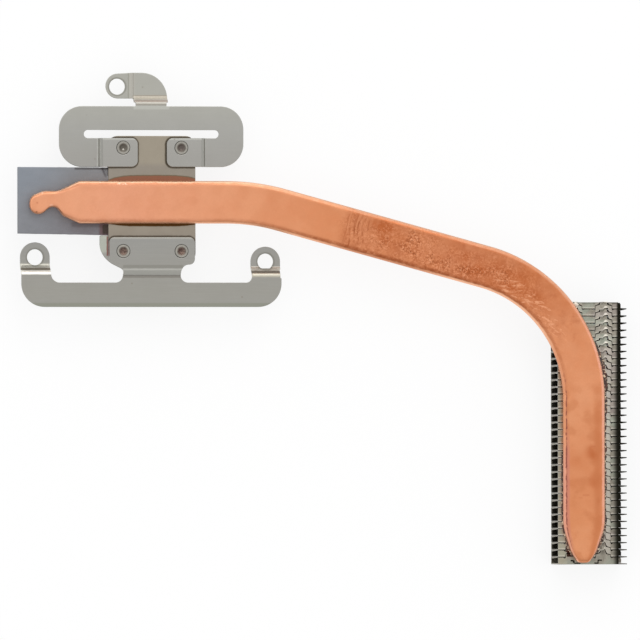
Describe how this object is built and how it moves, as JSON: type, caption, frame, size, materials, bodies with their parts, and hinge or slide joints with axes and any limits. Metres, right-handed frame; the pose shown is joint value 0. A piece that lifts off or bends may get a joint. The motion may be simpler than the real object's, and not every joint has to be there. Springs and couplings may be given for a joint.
{
  "type": "console heatsink",
  "caption": "Flat heatsink for a handheld console: a bent, flattened copper heat pipe joins a sprung contact plate to a zipper-fin stack.",
  "frame": {"origin": "centre of the base plate's underside, the face that presses on the processor", "axes": "+Z away from the circuit board, +X from the thermal pad towards the fin stack, +Y from the lower bracket towards the upper bracket"},
  "size_m": [0.0989, 0.0787, 0.0078],
  "materials": {
    "copper": "bare copper tube, satin, tarnished in places",
    "nickel_plate": "nickel-plated copper, satin",
    "spring_steel": "stainless spring sheet, matte",
    "rivet_steel": "stainless steel, satin",
    "thermal_pad": "matte grey filled silicone",
    "fin_sheet": "thin plated sheet, satin"
  },
  "bodies": {
    "root": {"heat_pipe": "copper", "base_plate": "nickel_plate", "upper_bracket": "spring_steel", "lower_bracket": "spring_steel", "rivets": "rivet_steel", "thermal_pad": "thermal_pad", "fin_01": "fin_sheet", "fin_02": "fin_sheet", "fin_03": "fin_sheet", "fin_04": "fin_sheet", "fin_05": "fin_sheet", "fin_06": "fin_sheet", "fin_07": "fin_sheet", "fin_08": "fin_sheet", "fin_09": "fin_sheet", "fin_10": "fin_sheet", "fin_11": "fin_sheet", "fin_12": "fin_sheet", "fin_13": "fin_sheet", "fin_14": "fin_sheet", "fin_15": "fin_sheet", "fin_16": "fin_sheet", "fin_17": "fin_sheet", "fin_18": "fin_sheet", "fin_19": "fin_sheet", "fin_20": "fin_sheet", "fin_21": "fin_sheet", "fin_22": "fin_sheet", "fin_23": "fin_sheet", "fin_24": "fin_sheet", "fin_25": "fin_sheet", "fin_26": "fin_sheet", "fin_27": "fin_sheet", "fin_28": "fin_sheet", "fin_29": "fin_sheet", "fin_30": "fin_sheet", "fin_31": "fin_sheet", "fin_32": "fin_sheet", "fin_33": "fin_sheet", "fin_34": "fin_sheet", "fin_35": "fin_sheet", "fin_36": "fin_sheet", "fin_37": "fin_sheet"}
  },
  "joints": []
}
